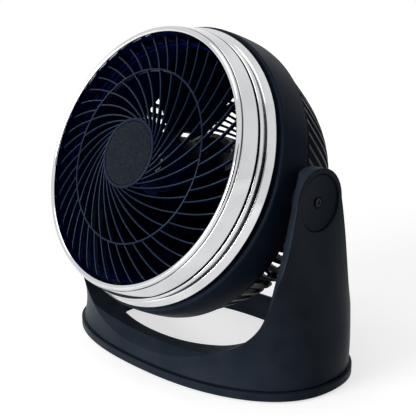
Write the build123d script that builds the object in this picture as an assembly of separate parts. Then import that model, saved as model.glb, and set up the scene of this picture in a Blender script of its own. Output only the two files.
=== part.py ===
from build123d import *
from math import copysign, cos, pi, radians, sin, sqrt
import os

# Table-top air circulator: a round blower head that tilts between the two arms of an oval cradle.
# Frame: +Z up, +X to the machine's left-hand arm seen from behind, -Y is the side the air leaves.
# Head pieces are drawn about the fan axis: X as in the frame, +Z along the air stream, station 0 on
# the tilt axis, and are then leaned back to the rest angle by on_head().

os.makedirs("parts", exist_ok=True)

# ---- driving dimensions, millimetres and degrees ----

# pose and clearances
rest_tilt = 22.0           # how far the air stream points upwards at rest
pivot_height = 145.3       # tilt axis above the table
pivot_y = -1.45            # tilt axis fore and aft
running_gap = 0.05         # radial gap of a turning fit
seat_gap = 0.15            # radial gap between fitted parts of one assembly
screw_gap = 0.1            # radial gap round a screw shank

# front of the head
mouth_r = 95.4             # clear radius inside the bright bezel
bezel_front_r = 100.0      # outer radius of the bezel at its nose
bezel_front = 62.3         # station of the bezel nose
bezel_flange_r = 108.2     # outer radius of the bezel's back flange
bezel_back = 33.5          # station of the bezel's back edge
bezel_wall = 2.2
nose_drop = 2.0            # depth of the rounded nose
cone_lean = 3.6            # the cone's end stands this far outside the nose
cone_foot = 14.4           # height of the cone's end above the back edge
groove_in = 2.4            # floor of the front groove, outside the nose
groove_lip = 0.8
groove_end = 1.8
bead_out = 5.1             # crest of the bead, outside the nose
bead_foot = 10.0           # height of the crest above the back edge
bead_front = (4.2, 2.2)    # start of the bead: outside the nose, behind the cone's end
bead_rear = (4.8, 1.8)     # end of the bead: outside the nose, behind the crest
rear_groove = (3.4, 2.4)   # floor of the rear groove: outside the nose, behind the crest
flange_foot = 6.0          # height of the flange's shoulder above the back edge
flange_step = 0.6
flange_in = 5.2            # shoulder of the flange, outside the nose
flange_edge = (0.4, 1.6)   # chamfer of the flange: inside its edge, above the back edge
flange_rim = 1.0
bezel_inside = ((1.2, -0.6), (0.6, -1.0))  # back of the wall under the flange and under the cone
nose_back = 5.0            # thickness behind the nose
leg_back = 6.0

# duct and barrel
duct_r = 91.0              # bore of the air duct
duct_wall = 2.5
duct_front = 44.0          # front end of the duct tube, where the grille seats
duct_back = -6.0
boss_r = 3.6               # posts for the rear grille's screws
boss_shift = 1.4           # posts stand this far outside the middle of their gap
boss_gap = 1.0             # the posts end this far short of the bezel
screw_run_out = 5.0        # blind end of the posts' holes, behind the posts' ends
housing_screw_len = 22.0
corner_count = 4           # screws, bolts and lugs that stand in a square
first_corner = 45.0
channel_r = 103.0          # shadow channel behind the bezel flange
barrel_front = 29.6        # front face of the barrel, behind the channel
barrel_front_r = 111.0
barrel_edge = 1.8          # rounding of the barrel's front edge
barrel_r = 112.6           # widest radius of the barrel, at its back edge
barrel_back = 4.0
barrel_swell = 0.4         # the barrel's side at its middle, inside its back edge

# tilt pivots
ear_r = 13.0               # round pad on each side of the barrel
ear_face = 115.2           # distance of the pad's face from the middle plane
ear_root = 7.0             # how far the pad reaches in from the barrel's side
ear_gap = 0.5              # room round the pad in the rear grille
web_t = 4.0                # web that ties the pad to the duct
web_gap = 5.0
web_rise = 4.0             # the web's front above the barrel's back edge
trunnion_root = 1.0
trunnion_r = 7.5
trunnion_end = 123.4
pivot_screw_r = 2.0
pivot_screw_head_r = 3.0
pivot_screw_head_t = 1.4
pivot_screw_len = 14.0
pivot_run_out = 2.0        # blind end of its hole beyond the screw
drive_slot = (1.4, 1.0, 4.0)  # depth, width and length of the cross slot
pivot_disc_r = 19.9        # dished disc seen in the arm's outer pocket
pivot_disc_t = 2.8
disc_rim = 1.5
disc_dish = 1.1
disc_dish_share = 0.8      # part of the dish reached halfway in
disc_hole_r = 4.3          # counterbore over the screw head
disc_floor_t = 0.9
bush_r = 10.0
bush_proud = 0.3           # how far the bush stands inside the arm
washer_t = 0.8
washer_side_gap = 1.0
washer_bore_gap = 0.5

# front grille
hub_ring_r = 26.4
hub_ring_t = 2.0
hub_ring_len = 6.0
hub_web_gap = 0.5          # the web behind the disc ends inside the ring's wall
hub_step = 0.6             # ribs and the disc's side start this far behind the hub ring
disc_depth = 4.0           # thickness of the middle disc at its side
disc_crown = 0.9
hub_station = 70.2
mid_ring_r = 65.9
mid_ring_w = 1.5
mid_station = 62.4
rim_station = 58.8
rib_w = 1.3
rib_depth = 3.2
rib_root = 0.1             # how far ribs reach into the rings they end on
rim_root = 0.4
rim_corner = (3.5, 3.0)    # corner where the ribs turn back: inside the wall, behind the rim
rib_turn = 2.0             # the same corner on their inner side
grille_seat = 3.0          # ring on which the grille sits on the duct
sink = 0.3                 # joined pieces reach this far into one another
grille_wall = 2.8          # radial depth of the ribs where they turn back along the mouth
skirt_t = 1.1              # dark wall of the grille inside the bezel
bezel_lip = 1.2            # bright lip in front of that wall
inner_ribs = 30
outer_ribs = 45
hub_mid_share = 2.4        # an inner rib's middle radius is the sum of its end radii over this
rib_lag = 0.52             # share of its turn that an outer rib has made at its middle radius
hub_sweep = 61.0           # how far an inner rib swings round from the hub ring to the mid ring
mid_sweep = 34.0           # the same, counted to its middle radius
rim_sweep = 14.5           # how far an outer rib swings round from the mid ring to the rim
first_rib = 18.4           # bearing at which an inner and an outer rib meet the mid ring together

# rear grille
dome_line = ((112.4, 4.0, 17.0), (105.0, -20.0, 17.5), (96.4, -44.0, 25.0), (84.5, -62.0, 42.0),
             (60.0, -74.5, 74.0))  # radius, station and slope of the domed back
dome_back = -77.0
plate_inset = 1.0          # the motor plate stands in front of the dome's back
dome_wall = 5.4
rear_edge_w = 3.0
rear_edge_in = 0.4
ear_notch = 12.0           # depth of the notch for the side pads
rear_ring_r = 80.0
rear_ring_w = 3.0
rear_rim_gap = 0.8         # the rear ribs' outer ends, inside the barrel's side
rear_hub_out = 1.0
rear_hub_w = 3.0           # ring round the motor plate
rear_hub_r = 47.0
lug_w = 8.0                # screw lugs inside the edge ring
lug_t = 3.0
lug_shift = 0.8
lug_end_gap = 1.0
lug_bore = 20.0            # reach of the lugs' holes each way
plate_hole = 3.0           # hole in the plate, wider than the bearing
rear_plate_t = 3.0
rear_rib_w = 2.2
rear_outer_ribs = 68
rear_inner_ribs = 68
rear_outer_sweep = 15.0
rear_inner_sweep = 30.0
rear_inner_lag = 0.4       # share of its turn that an inner rib still has to make at its middle

# motor
shaft_r = 3.0
motor_r = 37.0
motor_front = -9.0
bell_depth = 12.0
stack_len = 22.0
bell_wall = 2.4
rotor_r = 21.0
air_gap = 0.4
bell_corner = (4.0, 3.0)   # bevelled corner of the bell: inside its side, above its end
bell_inside = 1.0          # the same corner on the inner side, further from the edge
vent_r = 3.2
vent_count = 8
vent_in = 1.0              # vents stand this far inside the middle of the bell's face
bearing_r = 7.0
bearing_len = 8.0
bearing_proud = 3.0        # the bearing stands out of its bell by this
bearing_seat = 2.0         # wall of the bell round the bearing
bolt_pitch_r = 33.6
bolt_r = 1.6
bolt_head_r = 3.0
bolt_land = 2.0            # wall round each bolt inside the bells
land_start = 1.0
standoff_r = 3.6
winding_len = 6.0
winding_r = 29.6
slot_count = 12
slot_r = 27.0              # middle of the slots the coils lie in
slot_depth = 8.0
slot_w = 6.0
coil_gap = 0.3             # room between a coil's side and its slot
coil_in = 0.2
coil_reach = 0.5           # the coils' sides run this far into their ends
shaft_out = 2.0            # the shaft's end behind the motor

# impeller
blade_tip_r = 87.5
blade_count = 3
blade_t = 2.2
blade_camber = 0.09        # rise of the blade's middle, as a share of its chord
blade_room = 4.0           # the blades may stand this far beyond the hub's ends
blade_sections = ((20.0, 46.0, 46.0), (56.0, 88.0, 29.0), (91.5, 114.0, 20.0))  # radius, chord, pitch
first_blade = 75.0         # bearing of the first blade at rest
impeller_hub_r = 25.0
impeller_back = 6.0
impeller_len = 32.0
hub_core = 5.0             # wall of the hub round the shaft
hub_wall = 2.4
blade_root = (1.0, 4.0)    # the blades end inside the hub's side, and behind its front
hub_cap = (5.0, 8.0)       # inside of the hub's cap: at the shaft, at the wall
hub_round = ((0.0, 7.0), (4.0, 1.5), (11.0, 0.0))  # rounded nose: inside the hub's side, behind its front
nut_r = 8.0
nut_len = 8.0
nut_cap = 3.0              # domed end beyond the shaft
nut_edge = (0.6, 1.0)      # chamfer where the dome begins

# back cover and speed control
cover_r = 44.0
cover_depth = 12.0
cover_wall = 2.2
cover_round = ((5.0, 0.0), (1.5, 1.5), (0.0, 5.0))  # rounded rim: inside the side, above the back
knob_r = 15.0
knob_len = 9.0
knob_gap = 0.5
knob_round = ((0.8, 2.0), (1.5, 0.6), (3.0, 0.0))  # rounded end: inside the side, above the end
flute_r = 1.1
flute_out = 0.1
flute_stop = 2.5           # flutes end this far below the knob's foot
flute_count = 18
pointer = (2.2, 4.0, 1.6)  # width, shortening against the knob's radius, and height
pointer_in = 1.0
stem_r = 3.0
stem_gap = 1.2             # room round the stem in the cover
stem_stop = 3.0            # the stem ends this far short of the knob's and the switch's far ends
switch_bore_stop = 2.0
switch_size = 22.0
switch_len = 9.0
gland_r = 5.6
gland_lip = (1.6, 2.4)     # reach and thickness of the lip outside the cover
gland_in = 3.0
gland_sink = 0.1
gland_bore = 2.7
gland_drop = 31.0          # gland below the fan axis
cover_screw_pitch = 38.0
cover_screws_count = 3
first_cover_screw = 90.0
cover_post_wall = 0.8
cover_recess = 2.2         # depth of the recess for each head

# cradle base
lip_half_x = 131.9
lip_front = 61.6           # reach of the foot lip in front of the tilt axis
lip_rear = 94.4            # reach behind it
lip_step = 2.4             # how far the cradle stands inside the lip
lip_top = 7.6
shadow_gap = 0.9
foot_lift = 1.6            # underside of the ring above the table
oval_power = 2.3           # squareness of the footprint, 2 is an ellipse
shell_low_z = 46.0         # the cradle's outside stands upright up to here
arm_sections = ((95.0, 1.6, 72.0, 74.0, 3.5),
                (176.0, 2.6, 59.0, 62.0, 3.8))  # height, draft, front, rear and squareness
shell_wall = 2.6
arm_top_r = 24.2
arm_side_z = 80.0
arm_side_y = 41.0
skirt_z = 40.0
skirt_reach = 62.0
rear_skirt_z = 27.0
rear_skirt_reach = 88.0
saddle_floor = 24.4        # lowest point of the U between the arms
saddle_rise = 4.2
saddle_floor_x = 60.0
saddle_corner_x = 113.5    # where the U turns up into the arms
saddle_corner_z = 71.0
saddle_top_z = 112.0       # where it runs into the arms' inner faces
arm_inner = 116.5          # inner face of each arm from the middle plane
arm_cover_z = 114.0        # foot of the inner covers round the pivots
bevel = 10.5               # bright sloping band round the U
bevel_start = 48.9         # where the band begins in front of the tilt axis
rear_bevel = 8.0
rear_bevel_start = 84.0
bevel_lean = 14.9          # lean of the band's plane
bevel_lead = 1.5           # the flared cutter starts this far inside the U
bevel_side_share = 1.25    # the front band opens this much faster sideways, up the arms
opening_half_x = 98.0
opening_front = 39.0
opening_rear = 81.6
pocket_r = 20.5
pocket_floor = 122.5
bush_wall = 2.4
arm_cover_t = 2.2
arm_cover_r = 16.0
post_r = 4.4
base_screw_r = 1.6
base_screw_head_r = 3.2
screw_head_t = 1.8
screw_neck = 0.5           # shank reaches into the head by this
base_recess = 2.0          # the base screws' heads sit this deep in the ring
base_screw_reach = 10.0    # and their ends stand this far above it
ring_step = 1.0            # room between the ring's upper step and the cradle's outside
foot_r = 7.5
foot_t = 3.2
foot_x = 80.0
far = 400.0                # size of the tools that cut right through
past = 1.0                 # how far shorter tools run past what they cut
seam_turn = 7.0            # turns the start of each turned surface clear of the ribs and pads

# ---- derived places ----
motor_back = motor_front - 2 * bell_depth - stack_len
stack_front = motor_front - bell_depth
stack_back = stack_front - stack_len
plate_back = dome_back + plate_inset
plate_front = plate_back + rear_plate_t
cover_back = plate_back - cover_depth
ring_top = lip_top + shadow_gap
boss_pitch_r = (duct_r + channel_r) / 2 + boss_shift
bezel_nose = bezel_front - nose_drop
disc_seat = hub_station - disc_depth
base_seat = foot_lift + base_recess
stem_end = cover_back - knob_len + stem_stop


# ---- shared helpers ----

def save(name, shape):
    export_step(shape, f"parts/{name}.step")


def on_head(shape):
    """Moves a piece drawn about the fan axis to its place above the table."""
    return Pos(0, pivot_y, pivot_height) * Rot(90 - rest_tilt, 0, 0) * shape


def rod(radius, back, front, x=0.0, y=0.0):
    """Round bar along the fan axis between two stations."""
    return Pos(x, y, (back + front) / 2) * Cylinder(radius, front - back)


def tube(outer, inner, back, front, x=0.0, y=0.0):
    return rod(outer, back, front, x, y) - rod(inner, back - past, front + past, x, y)


def spun(*pieces):
    """Solid of revolution from (radius, station) points; a triple of points is an arc."""
    edges = []
    start = None
    for piece in pieces:
        is_arc = isinstance(piece[0], tuple)
        first = piece[0] if is_arc else piece
        if start is not None and start != first:
            edges.append(Line(start, first))
        if is_arc:
            edges.append(ThreePointArc(*piece))
        start = piece[2] if is_arc else piece
    first = pieces[0][0] if isinstance(pieces[0][0], tuple) else pieces[0]
    if start != first:
        edges.append(Line(start, first))
    return Rot(0, 0, seam_turn) * revolve(Plane.XZ * make_face(Wire(edges)), Axis.Z)


def crown(radius, station, height):
    """Arc of a shallow dome that ends square to the fan axis."""
    dome_r = (radius ** 2 + height ** 2) / (2 * height)
    drop = dome_r - sqrt(dome_r ** 2 - (radius / 2) ** 2)
    return ((radius, station), (radius / 2, station + height - drop), (0, station + height))


def side_rod(radius, low, high, side):
    """Round bar along X from the tilt axis outwards, for the arm on the given side."""
    length = high - low
    return Pos(side * (low + high) / 2, 0, 0) * Rot(0, 90, 0) * Cylinder(radius, length)


def polar(radius, bearing):
    return (radius * cos(radians(bearing)), radius * sin(radians(bearing)))


def ring_of(shape, count, first=0.0):
    return [Rot(0, 0, first + 360 * i / count) * shape for i in range(count)]


def corners_of(shape):
    """Four copies in a square about the fan axis."""
    return ring_of(shape, corner_count, first_corner)


def curved_rib(start, middle, end, width):
    """Flat strip that follows an arc through three (radius, bearing) points."""
    arc = ThreePointArc(polar(*start), polar(*middle), polar(*end))
    return trace(arc, width)


def flat_pattern(strips, rings):
    """Plan of a grille: its strips and rings joined into one sheet."""
    sheet = rings[0]
    return sheet.fuse(*rings[1:], *strips)


def all_solids(shapes):
    return Compound([solid for shape in shapes for solid in shape.solids()])


# ---- cradle base ----

def oval(half_x, front, rear, power, height):
    """Closed superellipse outline at a height; front and rear count from the tilt axis."""
    steps = 24
    mid = (rear - front) / 2 + pivot_y
    half_y = (rear + front) / 2
    points = []
    for i in range(steps):
        turn = 2 * pi * i / steps + pi / 2
        x = half_x * copysign(abs(cos(turn)) ** (2 / power), cos(turn))
        y = half_y * copysign(abs(sin(turn)) ** (2 / power), sin(turn))
        points.append(Vector(x, mid + y, height))
    return Wire([Edge.make_spline(points, periodic=True)])


def oval_slab(half_x, front, rear, low, high):
    return Solid.extrude(Face(oval(half_x, front, rear, oval_power, low)), Vector(0, 0, high - low))


def cradle_block(inset):
    """Outer form of the cradle: upright at the foot, then squaring up and leaning in to the arm tops."""
    reduce = lip_step + inset
    sections = []
    for height in (ring_top, shell_low_z):
        foot = (lip_half_x - reduce, lip_front - reduce, lip_rear - reduce)
        sections.append(oval(*foot, oval_power, height))
    for height, draft, front, rear, power in arm_sections:
        sections.append(oval(lip_half_x - reduce - draft, front - inset, rear - inset, power, height))
    return Solid.make_loft(sections)


def arm_outline(inset):
    """Side view of the cradle, seen along X, as a bar right across it."""
    top_r = arm_top_r - inset
    side = arm_side_y - inset
    front_foot = (pivot_y - skirt_reach, skirt_z - inset)
    rear_foot = (pivot_y + rear_skirt_reach, rear_skirt_z - inset)
    with BuildSketch(Plane.YZ) as sketch:
        with BuildLine():
            front = Line((pivot_y - side, arm_side_z), (pivot_y - top_r, pivot_height))
            cap = ThreePointArc(front @ 1, (pivot_y, pivot_height + top_r), (pivot_y + top_r, pivot_height))
            rear = Line(cap @ 1, (pivot_y + side, arm_side_z))
            TangentArc(front @ 0, front_foot, tangent=-(front % 0))
            TangentArc(rear @ 1, rear_foot, tangent=rear % 1)
            Polyline(front_foot, (-far, front_foot[1]), (-far, -past), (far, -past), (far, rear_foot[1]),
                     rear_foot)
        make_face()
    return extrude(sketch.sketch, far / 2, both=True)


def saddle_face(plane, grow, side_grow, stretch=1.0):
    """U between the arms, drawn on a plane whose local Y runs up from the saddle floor."""
    def up(height):
        return (height - saddle_floor) * stretch
    floor_z = up(saddle_floor - grow)
    rise_z = up(saddle_floor + saddle_rise - grow)
    corner = (saddle_corner_x + (grow + side_grow) / 2, up(saddle_corner_z))
    top = (arm_inner + side_grow, up(saddle_top_z))
    with BuildSketch(plane) as sketch:
        with BuildLine():
            floor = ThreePointArc((-saddle_floor_x, rise_z), (0, floor_z), (saddle_floor_x, rise_z))
            TangentArc(floor @ 1, corner, tangent=floor % 1)
            TangentArc(floor @ 0, (-corner[0], corner[1]), tangent=-(floor % 0))
            Polyline(corner, top, (top[0], up(far)), (-top[0], up(far)), (-top[0], top[1]),
                     (-corner[0], corner[1]))
        make_face()
    return sketch.sketch


def saddle_bar(grow):
    plane = Plane(origin=(0, 0, saddle_floor), x_dir=(1, 0, 0), z_dir=(0, -1, 0))
    return extrude(saddle_face(plane, grow, grow), far, both=True)


def band_cutter(grow, facing):
    """Flared mouth that leaves the sloping band; facing is -1 in front and 1 behind."""
    lean = radians(bevel_lean)
    start_y, width, side_share = (bevel_start, bevel, bevel_side_share) if facing < 0 else (
        rear_bevel_start, rear_bevel, 1.0)
    faces = []
    for step in (-bevel_lead, width):
        reach = start_y - grow + step
        plane = Plane(origin=(0, pivot_y + facing * reach, saddle_floor), x_dir=(1, 0, 0),
                      z_dir=(0, -cos(lean), -facing * sin(lean)))
        faces.append(saddle_face(plane, grow + step, grow + step * side_share, 1 / cos(lean)))
    return loft(faces, ruled=True)


def cradle_cut(inset):
    """Cradle without its cavity: inset 0 is the outside, inset shell_wall the room inside."""
    block = cradle_block(inset) & arm_outline(inset)
    block = block - saddle_bar(inset)
    hole = (opening_half_x + inset, opening_front + inset, opening_rear + inset)
    block = block - oval_slab(*hole, -past, far)
    for facing in (-1, 1):
        block = block - band_cutter(inset, facing)
    return block


def oval_point(half_x, front, rear, x, side):
    """Point of an oval at a given x, on its front (side -1) or rear (side 1)."""
    mid = (rear - front) / 2 + pivot_y
    half_y = (rear + front) / 2
    share = 1 - abs(x / half_x) ** oval_power
    return (x, mid + side * half_y * share ** (1 / oval_power))


def rail_line(x, side):
    """Middle of the base rail, between its outside and the opening."""
    half_x = (lip_half_x + opening_half_x) / 2
    front = (lip_front + opening_front) / 2
    rear = (lip_rear + opening_rear) / 2
    return oval_point(half_x, front, rear, x, side)


def screw_places():
    return [rail_line(0, -1), rail_line(0, 1), rail_line(-foot_x / 2, -1), rail_line(foot_x / 2, -1),
            rail_line(-foot_x / 2, 1), rail_line(foot_x / 2, 1)]


def foot_places():
    return [rail_line(x, side) for side in (-1, 1) for x in (-foot_x, foot_x)]


def arm_cover_outline(inset, low, high, side):
    """Inner cover of an arm: round at the pivot, square at its foot."""
    radius = arm_cover_r - inset
    foot = arm_cover_z + inset
    block_h = pivot_height - foot
    shape = Pos(0, 0, pivot_height) * side_rod(radius, low, high, side)
    block = Pos(side * (low + high) / 2, 0, foot + block_h / 2) * Box(high - low, 2 * radius, block_h)
    return Pos(0, pivot_y, 0) * (shape + block)


def at_pivot(shape):
    return Pos(0, pivot_y, pivot_height) * shape


def base_shell():
    outside = cradle_cut(0)
    shell = outside - cradle_cut(shell_wall)
    hub_r = bush_r + bush_wall
    for side in (-1, 1):
        wall = side_rod(pocket_r + shell_wall, pocket_floor - shell_wall, far / 2, side)
        hub = side_rod(hub_r, arm_inner, pocket_floor, side)
        shell = shell + (at_pivot(wall + hub) & outside)
        window = arm_cover_outline(0, arm_inner - past, arm_inner + shell_wall + past, side)
        shell = shell - (window - at_pivot(side_rod(hub_r, 0, far / 2, side)))
        shell = shell - at_pivot(side_rod(pocket_r, pocket_floor, far / 2, side))
        shell = shell - at_pivot(side_rod(bush_r, 0, far / 2, side))
    for x, y in screw_places():
        post = Pos(x, y, ring_top + saddle_floor / 2) * Cylinder(post_r, saddle_floor)
        shell = shell + (post & outside)
        shell = shell - Pos(x, y, ring_top) * Cylinder(base_screw_r, 2 * base_hole_depth())
    return max(shell.solids(), key=lambda solid: solid.volume)


def base_hole_depth():
    return saddle_floor - ring_top - shell_wall


def base_ring():
    """Bottom ring whose lip stands proud all round the cradle."""
    ring = oval_slab(lip_half_x, lip_front, lip_rear, foot_lift, lip_top)
    inset = lip_step + shadow_gap + ring_step
    step = oval_slab(lip_half_x - inset, lip_front - inset, lip_rear - inset, foot_lift, ring_top)
    ring = ring + step - oval_slab(opening_half_x, opening_front, opening_rear, 0, far)
    for x, y in foot_places():
        ring = ring - Pos(x, y, foot_t / 2) * Cylinder(foot_r + seat_gap, foot_t)
    for x, y in screw_places():
        ring = ring - Pos(x, y, 0) * Cylinder(base_screw_r + screw_gap, far)
        ring = ring - Pos(x, y, 0) * Cylinder(base_screw_head_r + seat_gap, 2 * base_seat)
    return ring


def rubber_feet():
    return all_solids([Pos(x, y, foot_t / 2) * Cylinder(foot_r, foot_t) for x, y in foot_places()])


def base_screws():
    end = ring_top + base_screw_reach
    shank = Pos(0, 0, (base_seat + end) / 2) * Cylinder(base_screw_r, end - base_seat)
    head = Pos(0, 0, base_seat - screw_head_t / 2) * Cylinder(base_screw_head_r, screw_head_t)
    return all_solids([Pos(x, y, 0) * (shank + head) for x, y in screw_places()])


def arm_cover(side):
    cover = arm_cover_outline(seat_gap, arm_inner, arm_inner + arm_cover_t, side)
    return cover - at_pivot(side_rod(bush_r + bush_wall + seat_gap, 0, far / 2, side))


def pivot_bush(side):
    low = arm_inner - bush_proud
    return at_pivot(side_rod(bush_r, low, pocket_floor, side)
                    - side_rod(trunnion_r + running_gap, 0, far / 2, side))


def friction_washer(side):
    outer = side_rod(pocket_r - washer_side_gap, pocket_floor, pocket_floor + washer_t, side)
    return at_pivot(outer - side_rod(bush_r + washer_bore_gap, 0, far / 2, side))


# ---- head ----

def chrome_bezel():
    """Bright stepped bezel: nose, long cone, bead between two grooves, back flange, inner leg."""
    leg_in = mouth_r + skirt_t + seat_gap
    leg_out = mouth_r + bezel_wall
    nose = bezel_nose
    cone_back = bezel_back + cone_foot
    bead = bezel_back + bead_foot
    flange = bezel_back + flange_foot
    under_flange, under_cone = bezel_inside
    return spun(
        (leg_in, bezel_back),
        (leg_in, nose - bezel_lip),
        (mouth_r, nose - bezel_lip),
        ((mouth_r, nose), ((mouth_r + bezel_front_r) / 2, bezel_front), (bezel_front_r, nose)),
        (bezel_front_r + cone_lean, cone_back),
        (bezel_front_r + groove_in, cone_back - groove_lip),
        (bezel_front_r + groove_in, cone_back - groove_end),
        ((bezel_front_r + bead_front[0], cone_back - bead_front[1]), (bezel_front_r + bead_out, bead),
         (bezel_front_r + bead_rear[0], bead - bead_rear[1])),
        (bezel_front_r + rear_groove[0], bead - rear_groove[1]),
        (bezel_front_r + rear_groove[0], flange + flange_step),
        (bezel_front_r + flange_in, flange),
        (bezel_flange_r - flange_edge[0], bezel_back + flange_edge[1]),
        (bezel_flange_r, bezel_back + flange_rim),
        (bezel_flange_r, bezel_back),
        (bezel_flange_r - bezel_wall, bezel_back),
        (bezel_front_r + under_flange[0], flange + under_flange[1]),
        (bezel_front_r + under_cone[0], cone_back + under_cone[1]),
        (bezel_front_r - bezel_wall, bezel_front - nose_back),
        (leg_out, bezel_front - leg_back),
        (leg_out, bezel_back))


def housing_body():
    tube_r = duct_r + duct_wall
    skin = duct_wall
    edge_arc = barrel_edge * (1 - sqrt(0.5))
    middle = (barrel_back + barrel_front) / 2
    return spun(
        (duct_r, duct_back),
        (duct_r, duct_front),
        (tube_r, duct_front),
        (tube_r, bezel_back),
        (channel_r, bezel_back),
        (channel_r, barrel_front),
        ((barrel_front_r - barrel_edge, barrel_front), (barrel_front_r - edge_arc, barrel_front - edge_arc),
         (barrel_front_r, barrel_front - barrel_edge)),
        ((barrel_front_r, barrel_front - barrel_edge), (barrel_r - barrel_swell, middle),
         (barrel_r, barrel_back)),
        (barrel_r - skin, barrel_back),
        (barrel_front_r - skin, barrel_front - skin),
        (channel_r - skin, barrel_front - skin),
        (channel_r - skin, bezel_back - skin),
        (tube_r, bezel_back - skin),
        (tube_r, duct_back))


def housing_bosses():
    """Blind posts behind the channel for the four rear grille screws."""
    post = rod(boss_r, barrel_back, bezel_back - boss_gap, x=boss_pitch_r)
    return corners_of(post)


def trunnions():
    """The two side pads with their webs and stub axles."""
    pieces = []
    for side in (-1, 1):
        low = duct_r + duct_wall / 2
        high = barrel_r - web_gap
        top = barrel_back + web_rise
        middle = Pos(side * (low + high) / 2, 0, (duct_back + top) / 2)
        pieces.append(side_rod(ear_r, barrel_r - ear_root, ear_face, side))
        pieces.append(middle * Box(high - low, web_t, top - duct_back))
        pieces.append(side_rod(trunnion_r, ear_face - trunnion_root, trunnion_end, side))
    return pieces


def duct_housing():
    """Barrel with its air duct, the two side pads and the stub axles it tilts on."""
    body = housing_body().fuse(*housing_bosses(), *trunnions())
    hole = rod(base_screw_r, barrel_back, bezel_back - boss_gap - screw_run_out, x=boss_pitch_r)
    cuts = corners_of(hole)
    for side in (-1, 1):
        bore_end = trunnion_end - pivot_screw_len - pivot_run_out
        cuts.append(side_rod(pivot_screw_r, bore_end, far / 2, side))
    return body.cut(*cuts)


def pivot_disc(side):
    """Dished disc clamped on the stub axle, in the pocket of the arm's outer face."""
    half = spun((0, 0), (pivot_disc_r, 0), (pivot_disc_r, pivot_disc_t),
                ((pivot_disc_r - disc_rim, pivot_disc_t),
                 (pivot_disc_r / 2, pivot_disc_t - disc_dish * disc_dish_share),
                 (0, pivot_disc_t - disc_dish)))
    half = half - rod(pivot_screw_r + screw_gap, -past, far)
    half = half - rod(disc_hole_r, disc_floor_t, far)
    return Pos(side * trunnion_end, 0, 0) * Rot(0, side * 90, 0) * half


def pivot_screw(side):
    seat = trunnion_end + disc_floor_t
    top = seat + pivot_screw_head_t
    shank = side_rod(pivot_screw_r, seat - pivot_screw_len, seat + screw_neck, side)
    head = side_rod(pivot_screw_head_r, seat, top, side)
    depth, width, length = drive_slot
    cross = Box(depth, width, length) + Box(depth, length, width)
    return shank + head - Pos(side * top, 0, 0) * cross


def grille_skin():
    """Room that the front ribs fill: a shallow cone that turns back along the bezel."""
    outer = mouth_r + sink
    inner = mouth_r - grille_wall
    hub_in = hub_ring_r - hub_ring_t
    hub_top = hub_station - hub_step
    return spun(
        (hub_in, hub_top), (mid_ring_r, mid_station), (outer - rim_corner[0], rim_station),
        (outer, rim_station - rim_corner[1]), (outer, duct_front), (inner, duct_front),
        (inner, rim_station - rib_depth - rib_turn), (inner - rib_turn, rim_station - rib_depth),
        (mid_ring_r, mid_station - rib_depth), (hub_in, hub_top - rib_depth))


def front_grille():
    """Inner ribs swing from the hub ring to the mid ring, outer ones go on and turn back at the rim."""
    skin = grille_skin()
    outer = mouth_r + sink
    skirt_front = bezel_nose - bezel_lip - seat_gap
    hub_mid = hub_ring_r - hub_ring_t + rib_root
    start = first_rib - hub_sweep
    inner_strip = curved_rib((hub_mid, start), ((hub_mid + mid_ring_r) / hub_mid_share, start + mid_sweep),
                             (mid_ring_r, first_rib), rib_w)
    outer_strip = curved_rib((mid_ring_r, first_rib),
                             ((mid_ring_r + outer) / 2, first_rib + rim_sweep * rib_lag),
                             (outer - rim_root, first_rib + rim_sweep), rib_w)
    mid_ring = Circle(mid_ring_r + mid_ring_w / 2) - Circle(mid_ring_r - mid_ring_w / 2)
    hub_band = Circle(hub_ring_r - sink) - Circle(hub_ring_r - hub_ring_t)
    strips = ring_of(inner_strip, inner_ribs) + ring_of(outer_strip, outer_ribs)
    sheet = flat_pattern(strips, [mid_ring, hub_band])
    ribs = extrude(sheet, far / 2) & skin
    hub = tube(hub_ring_r, hub_ring_r - hub_ring_t, hub_station - hub_ring_len, hub_station)
    web = rod(hub_ring_r - hub_web_gap, hub_station - hub_ring_len, disc_seat)
    seat = tube(mouth_r + skirt_t, mouth_r - grille_wall, duct_front, duct_front + grille_seat)
    skirt = tube(mouth_r + skirt_t, mouth_r, duct_front, skirt_front)
    return ribs.fuse(hub, web, seat, skirt)


def hub_disc():
    edge = hub_ring_r - hub_ring_t - seat_gap
    return spun((0, disc_seat), (edge, disc_seat), (edge, hub_station - hub_step),
                crown(edge - hub_step, hub_station, disc_crown))


def dome_solid(inset):
    """Body behind the barrel's back edge, set inside the domed line by the inset."""
    points = []
    for radius, station, slope in dome_line:
        points.append((radius - inset * cos(radians(slope)), station + inset * sin(radians(slope))))
    lean = radians(dome_line[0][2])
    back = (0, dome_back + inset)
    line = Spline(*points, back, tangents=((-sin(lean), -cos(lean)), (-1, 0)))
    front = (points[0][0], barrel_back)
    edges = [Line(back, (0, barrel_back)), Line((0, barrel_back), front), line]
    if front != points[0]:
        edges.append(Line(front, points[0]))
    return Rot(0, 0, seam_turn) * revolve(Plane.XZ * make_face(Wire(edges)), Axis.Z)


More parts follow.
